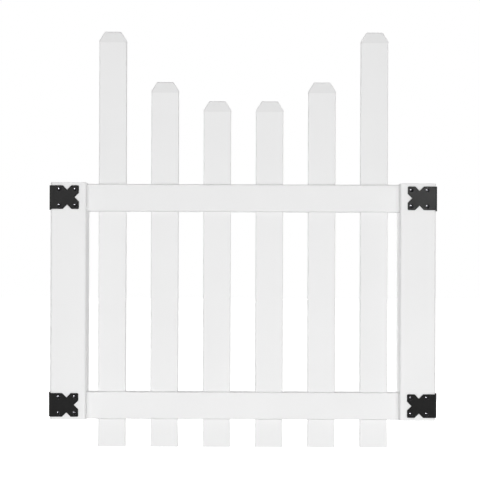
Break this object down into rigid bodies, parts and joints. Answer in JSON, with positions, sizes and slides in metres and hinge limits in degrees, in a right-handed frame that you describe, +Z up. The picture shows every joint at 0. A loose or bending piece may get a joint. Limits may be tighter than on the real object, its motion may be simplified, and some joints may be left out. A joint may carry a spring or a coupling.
{
  "type": "vinyl picket gate leaf",
  "caption": "White vinyl picket gate leaf with a scalloped row of dog-ear pickets through two rails, hollow stiles and black steel corner plates.",
  "frame": {"origin": "on the outer face of the bottom left corner plate's flange, level with the middle of the plate and at the middle of the leaf's depth", "axes": "+X across the leaf to the right as seen from the front, +Y towards the back, +Z up"},
  "size_m": [1.067, 0.101, 1.1525],
  "materials": {
    "white_vinyl": "satin",
    "black_steel": "satin"
  },
  "bodies": {
    "root": {"left_stile": "white_vinyl", "right_stile": "white_vinyl", "left_stile_cap": "white_vinyl", "right_stile_cap": "white_vinyl", "left_stile_foot_plug": "white_vinyl", "right_stile_foot_plug": "white_vinyl", "bottom_rail": "white_vinyl", "top_rail": "white_vinyl", "picket_1": "white_vinyl", "picket_2": "white_vinyl", "picket_3": "white_vinyl", "picket_4": "white_vinyl", "picket_5": "white_vinyl", "picket_6": "white_vinyl", "picket_cap_1": "white_vinyl", "picket_cap_2": "white_vinyl", "picket_cap_3": "white_vinyl", "picket_cap_4": "white_vinyl", "picket_cap_5": "white_vinyl", "picket_cap_6": "white_vinyl", "bottom_left_corner_plate": "black_steel", "bottom_right_corner_plate": "black_steel", "top_left_corner_plate": "black_steel", "top_right_corner_plate": "black_steel"}
  },
  "joints": []
}
